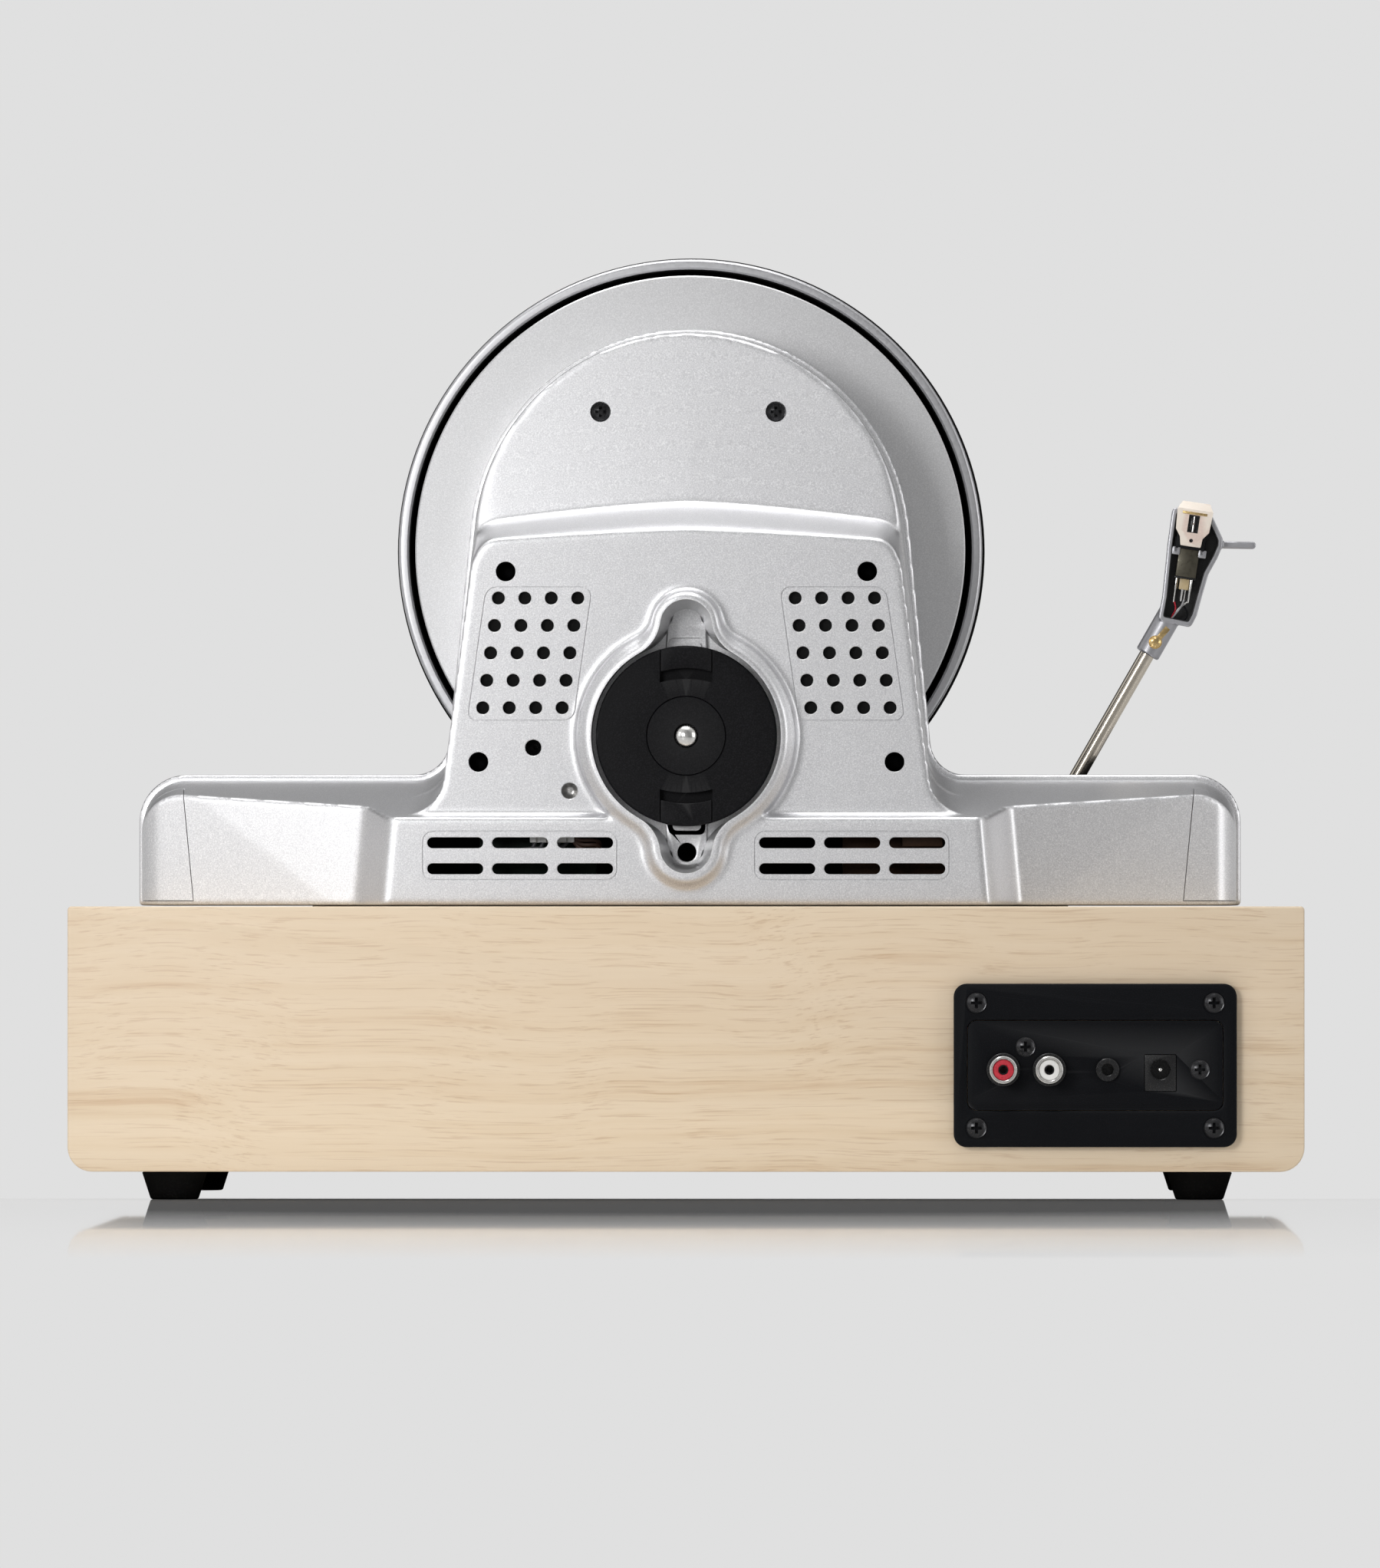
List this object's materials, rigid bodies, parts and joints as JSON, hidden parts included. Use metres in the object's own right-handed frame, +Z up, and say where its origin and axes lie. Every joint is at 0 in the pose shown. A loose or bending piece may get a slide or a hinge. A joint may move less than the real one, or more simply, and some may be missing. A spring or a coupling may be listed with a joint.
{
  "type": "vertical record player",
  "caption": "Upright record player: platter on a tower above a record slot, tonearm beside it, on a wooden speaker cabinet with rear sockets.",
  "frame": {"origin": "on the floor under the middle of the whole object's box", "axes": "+X to the right and +Z up as seen from the front, which is the side with the knobs and the speaker grille; the sockets and the stored clamp face +Y"},
  "size_m": [0.38, 0.2168, 0.2935],
  "materials": {
    "pale_wood": "pale veneer with a level grain, satin lacquer",
    "silver_shell": "silver paint on moulded plastic",
    "platter_metal": "silver satin",
    "black_plastic": "fine grained",
    "black_rubber": "matte",
    "grille_cloth": "woven cloth over a frame",
    "bright_steel": "plated",
    "dark_steel": "blackened",
    "arm_metal": "satin silver",
    "brass": "turned",
    "aluminium": "satin",
    "red_plastic": "moulded",
    "white_plastic": "moulded",
    "circuit_green": "coated board"
  },
  "bodies": {
    "housing": {"cabinet_back_panel": "pale_wood", "cabinet_left_side": "pale_wood", "cabinet_right_side": "pale_wood", "cabinet_bottom_board": "pale_wood", "cabinet_top_panel": "pale_wood", "front_baffle": "pale_wood", "front_grille": "grille_cloth", "record_well": "black_plastic", "foot_front_left": "black_rubber", "foot_front_right": "black_rubber", "foot_rear_left": "black_rubber", "foot_rear_right": "black_rubber", "speaker_left": "black_plastic", "speaker_right": "black_plastic", "amplifier_board": "circuit_green", "connector_panel": "black_plastic", "jack_plate": "black_plastic", "phono_socket_left": "bright_steel", "phono_socket_right": "bright_steel", "phono_insert_left": "white_plastic", "phono_insert_right": "red_plastic", "headphone_socket": "black_plastic", "power_socket": "black_plastic", "panel_screw_1": "dark_steel", "panel_screw_2": "dark_steel", "panel_screw_3": "dark_steel", "panel_screw_4": "dark_steel", "jack_plate_screw_1": "dark_steel", "jack_plate_screw_2": "dark_steel", "housing_screw_1": "dark_steel", "housing_screw_2": "dark_steel", "front_housing": "silver_shell", "rear_housing": "silver_shell", "end_cap_left": "silver_shell", "end_cap_right": "silver_shell", "bearing_bush": "brass", "motor": "aluminium", "drive_belt": "black_rubber", "clamp_post": "bright_steel", "tonearm_base": "aluminium", "arm_rest": "black_plastic"},
    "platter": {"platter": "platter_metal", "platter_mat": "black_rubber", "spindle": "bright_steel"},
    "motor_pulley": {"motor_pulley": "brass"},
    "arm_yoke": {"swing_yoke": "black_plastic"},
    "tonearm": {"arm_tube": "arm_metal", "headshell": "arm_metal", "cartridge": "black_plastic", "stylus_unit": "white_plastic", "counterweight": "dark_steel"},
    "cue_lever": {"cue_lever": "black_plastic"},
    "lift_bar": {"lift_bar": "bright_steel"},
    "volume_knob": {"volume_knob": "aluminium"},
    "start_button": {"start_button": "aluminium"},
    "speed_selector": {"speed_selector": "black_plastic"},
    "clamp": {"clamp_body": "black_plastic"},
    "clamp_tab_upper": {"clamp_tab_upper": "black_plastic"},
    "clamp_tab_lower": {"clamp_tab_lower": "black_plastic"}
  },
  "joints": [
    {"name": "platter_spin", "type": "hinge", "parent": "housing", "child": "platter", "pos_m": [0, -0.005, 0.2015], "axis": [0, 1, 0], "continuous": true},
    {"name": "motor_spin", "type": "hinge", "parent": "housing", "child": "motor_pulley", "pos_m": [0.0472, 0.0155, 0.1392], "axis": [0, 1, 0], "continuous": true},
    {"name": "tonearm_swing", "type": "hinge", "parent": "housing", "child": "arm_yoke", "pos_m": [-0.0755, -0.027, 0.0518], "axis": [0, 1, 0], "range_deg": [0, 36]},
    {"name": "tonearm_lift", "type": "hinge", "parent": "arm_yoke", "child": "tonearm", "pos_m": [-0.0755, -0.027, 0.0518], "axis": [0.8673, 0, 0.4977], "range_deg": [-2.2, 0]},
    {"name": "cue_lever_turn", "type": "hinge", "parent": "housing", "child": "cue_lever", "pos_m": [-0.06661, -0.0422, 0.07623], "axis": [0, 1, 0], "range_deg": [0, 60]},
    {"name": "lift_bar_slide", "type": "slide", "parent": "housing", "child": "lift_bar", "axis": [0, 1, 0], "range_m": [0, 0.001]},
    {"name": "volume_turn", "type": "hinge", "parent": "housing", "child": "volume_knob", "pos_m": [0.13, -0.092, 0.1096], "axis": [0, -1, 0], "range_deg": [-150, 150]},
    {"name": "start_press", "type": "slide", "parent": "housing", "child": "start_button", "axis": [0, 1, 0], "range_m": [0, 0.0015], "stiffness_N_per_m": 300, "springref_m": -0.001},
    {"name": "speed_slide", "type": "slide", "parent": "housing", "child": "speed_selector", "axis": [1, 0, 0], "range_m": [0, 0.008]},
    {"name": "clamp_pull", "type": "slide", "parent": "housing", "child": "clamp", "axis": [0, 1, 0], "range_m": [0, 0.022]},
    {"name": "clamp_squeeze_upper", "type": "slide", "parent": "clamp", "child": "clamp_tab_upper", "axis": [0, 0, -1], "range_m": [0, 0.003], "stiffness_N_per_m": 200, "springref_m": -0.002},
    {"name": "clamp_squeeze_lower", "type": "slide", "parent": "clamp", "child": "clamp_tab_lower", "axis": [0, 0, 1], "range_m": [0, 0.003], "stiffness_N_per_m": 200, "springref_m": -0.002}
  ],
  "couplings": [
    {"joint": "motor_spin", "follows": "platter_spin", "ratio": 15.25},
    {"joint": "cue_lever_turn", "follows": "tonearm_lift", "ratio": -27.27},
    {"joint": "lift_bar_slide", "follows": "tonearm_lift", "m_per_rad": -0.026}
  ]
}
